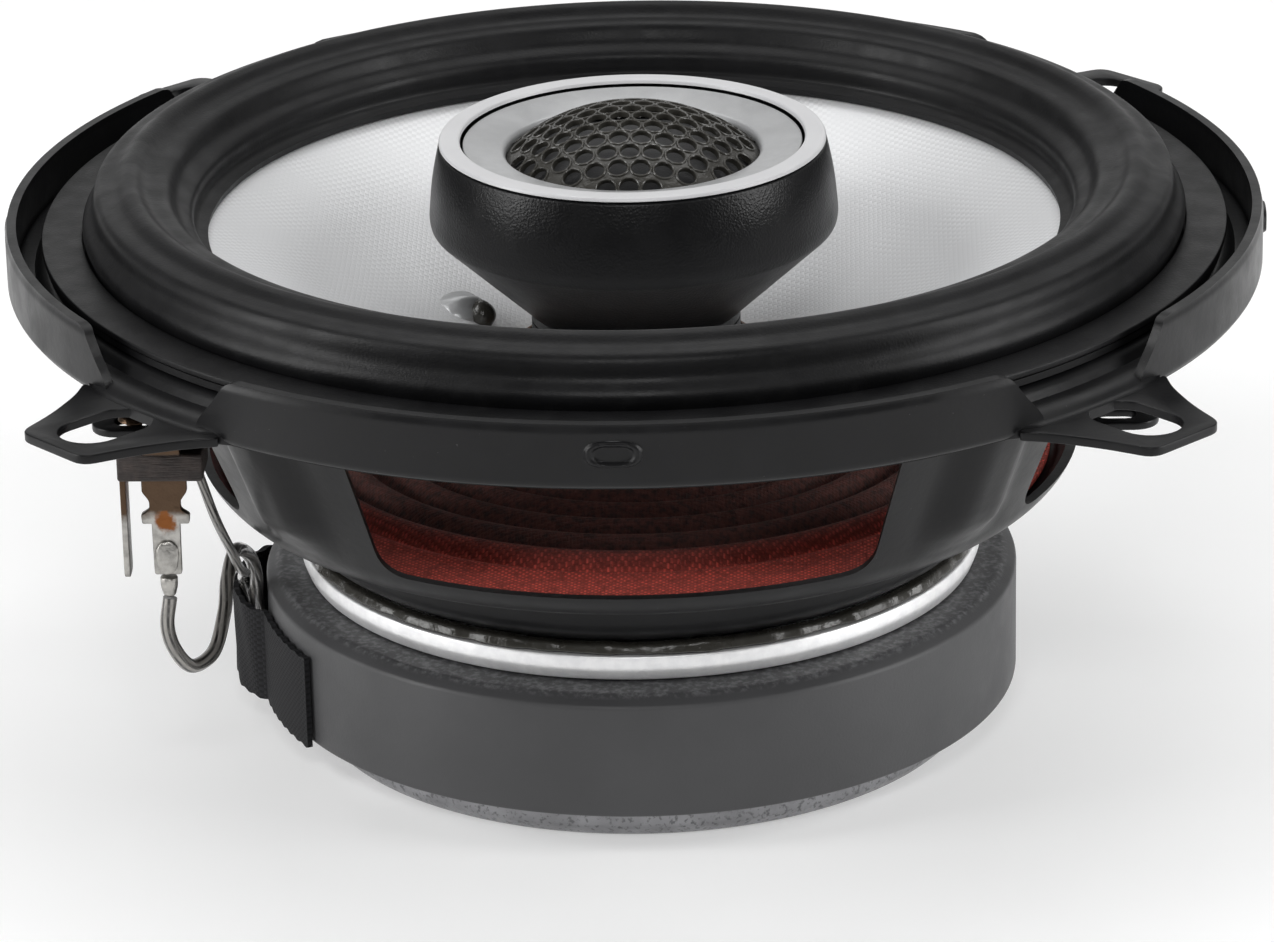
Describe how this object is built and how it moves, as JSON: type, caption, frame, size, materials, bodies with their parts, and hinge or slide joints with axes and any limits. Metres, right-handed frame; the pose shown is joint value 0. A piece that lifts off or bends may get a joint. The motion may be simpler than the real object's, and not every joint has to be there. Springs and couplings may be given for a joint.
{
  "type": "coaxial car speaker",
  "caption": "Coaxial car loudspeaker with a stamped steel basket, woven cone, corrugated rubber surround, ferrite motor and a dome tweeter under a pierced grille on a centre post.",
  "frame": {"origin": "Centre of the flat back of the motor, on the speaker's axis.", "axes": "+Z from the back of the motor to the listener. -Y is the window that faces the viewer, with the wiring terminal to its left, on the -X side."},
  "size_m": [0.134, 0.134, 0.0679],
  "materials": {
    "zinc_plated_steel": "zinc plated",
    "bright_steel": "bright plated",
    "ferrite": "ground ceramic magnet",
    "black_glue": "cured glue",
    "black_paint": "satin black paint on steel",
    "black_rubber": "matte",
    "woven_cone": "metallised weave under resin",
    "spider_cloth": "resin-dipped cloth",
    "former_film": "amber film",
    "copper": "copper wire",
    "phenolic": "pressed board",
    "tinned_metal": "tinned",
    "clear_lead": "clear jacket over tinned strands",
    "capacitor_sleeve": "shrink sleeve",
    "cloth_tape": "black woven tape",
    "black_plastic": "moulded",
    "dome_cloth": "coated silk",
    "face_paint": "grey metallic",
    "trim_silver": "satin silver"
  },
  "bodies": {
    "frame": {"back_plate_pole": "zinc_plated_steel", "ferrite_magnet": "ferrite", "top_plate": "bright_steel", "basket_glue_bead": "black_glue", "basket": "black_paint", "surround": "black_rubber", "gasket_ring": "black_rubber", "spider": "spider_cloth", "tinsel_lead_a": "copper", "tinsel_lead_b": "copper", "terminal_board": "phenolic", "terminal_bracket": "black_paint", "terminal_rivet": "tinned_metal", "terminal_eyelet": "tinned_metal", "terminal_blade_wide": "tinned_metal", "terminal_blade_narrow": "tinned_metal", "terminal_solder": "tinned_metal", "tweeter_lead_a": "clear_lead", "tweeter_lead_b": "clear_lead", "tweeter_lead_c": "clear_lead", "tweeter_capacitor": "capacitor_sleeve", "lead_tape": "cloth_tape", "tweeter_post": "black_plastic", "tweeter_housing": "black_plastic", "tweeter_yoke_cup": "zinc_plated_steel", "tweeter_magnet": "bright_steel", "tweeter_pole_plate": "zinc_plated_steel", "tweeter_suspension": "dome_cloth", "tweeter_face_plate": "face_paint", "tweeter_trim_ring": "trim_silver", "tweeter_grille": "black_plastic"},
    "cone_assembly": {"cone": "woven_cone", "voice_coil_former": "former_film", "voice_coil": "copper", "cone_lead_glue": "black_glue"},
    "tweeter_diaphragm": {"tweeter_dome": "dome_cloth", "tweeter_voice_coil": "copper"}
  },
  "joints": [
    {"name": "cone_excursion", "type": "slide", "parent": "frame", "child": "cone_assembly", "axis": [0, 0, 1], "range_m": [-0.004, 0.004], "stiffness_N_per_m": 1800, "deforming": ["surround", "spider", "tinsel_lead_a", "tinsel_lead_b"]},
    {"name": "dome_excursion", "type": "slide", "parent": "frame", "child": "tweeter_diaphragm", "axis": [0, 0, 1], "range_m": [-0.0003, 0.0003], "stiffness_N_per_m": 1500, "deforming": ["tweeter_suspension"]}
  ]
}
